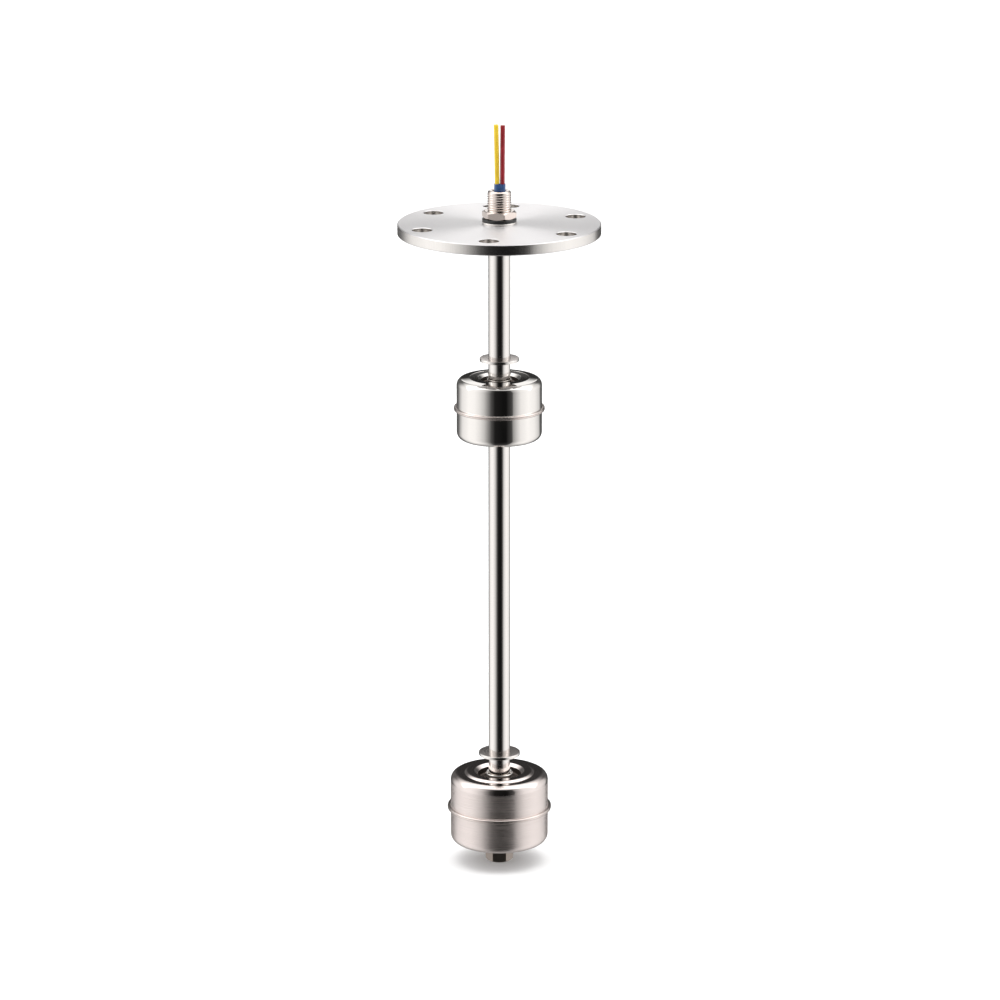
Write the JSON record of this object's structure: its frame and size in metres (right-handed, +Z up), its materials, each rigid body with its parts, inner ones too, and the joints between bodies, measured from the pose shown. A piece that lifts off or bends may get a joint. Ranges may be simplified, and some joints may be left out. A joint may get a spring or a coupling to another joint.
{
  "type": "float level switch",
  "caption": "Stem-mounted float level switch: round bolted flange, threaded conduit head with lead wires, polished stem, two sliding steel floats and a hex end.",
  "frame": {"origin": "centre of the flange's underside, the face that sits on the tank", "axes": "+Z up the stem axis towards the lead wires, -Y towards the viewer"},
  "size_m": [0.1168, 0.1168, 0.4437],
  "materials": {
    "turned_stainless": "face-turned and brushed",
    "machined_stainless": "machined",
    "bright_stainless": "bright rolled",
    "polished_stainless": "mirror polished",
    "polished_shell": "mirror polished",
    "satin_shell": "satin",
    "black_rubber": "moulded",
    "black_resin": "cast resin",
    "blue_sleeve": "shrunk tube",
    "yellow_pvc": "extruded insulation",
    "red_pvc": "extruded insulation",
    "grey_pvc": "extruded insulation",
    "circuit_board": "glass-epoxy laminate",
    "switch_glass": "drawn glass",
    "switch_blade": "plated nickel-iron",
    "ferrite": "sintered ferrite"
  },
  "bodies": {
    "stem_assembly": {"mounting_flange": "turned_stainless", "threaded_head": "machined_stainless", "head_flat_washer": "bright_stainless", "head_seal_washer": "black_rubber", "head_jam_nut": "machined_stainless", "potting_plug": "black_resin", "wire_sleeve": "blue_sleeve", "lead_wire_yellow": "yellow_pvc", "lead_wire_red": "red_pvc", "stem_tube": "polished_stainless", "end_hex_plug": "machined_stainless", "upper_float_top_stop": "polished_stainless", "upper_float_low_stop": "polished_stainless", "lower_float_top_stop": "polished_stainless", "switch_carrier_strip": "circuit_board", "inner_lead_yellow": "yellow_pvc", "inner_lead_red": "red_pvc", "switch_link_wire": "grey_pvc", "upper_reed_capsule": "switch_glass", "upper_reed_top_blade": "switch_blade", "upper_reed_low_blade": "switch_blade", "lower_reed_capsule": "switch_glass", "lower_reed_top_blade": "switch_blade", "lower_reed_low_blade": "switch_blade"},
    "upper_float": {"upper_float_top_shell": "polished_shell", "upper_float_bottom_shell": "polished_shell", "upper_float_centre_tube": "bright_stainless", "upper_float_magnet": "ferrite", "upper_float_magnet_seat": "bright_stainless", "upper_float_magnet_clip": "bright_stainless"},
    "lower_float": {"lower_float_top_shell": "satin_shell", "lower_float_bottom_shell": "satin_shell", "lower_float_centre_tube": "bright_stainless", "lower_float_magnet": "ferrite", "lower_float_magnet_seat": "bright_stainless", "lower_float_magnet_clip": "bright_stainless"}
  },
  "joints": [
    {"name": "upper_float_slide", "type": "slide", "parent": "stem_assembly", "child": "upper_float", "axis": [0, 0, 1], "range_m": [0, 0.0106]},
    {"name": "lower_float_slide", "type": "slide", "parent": "stem_assembly", "child": "lower_float", "axis": [0, 0, 1], "range_m": [0, 0.01095]}
  ]
}
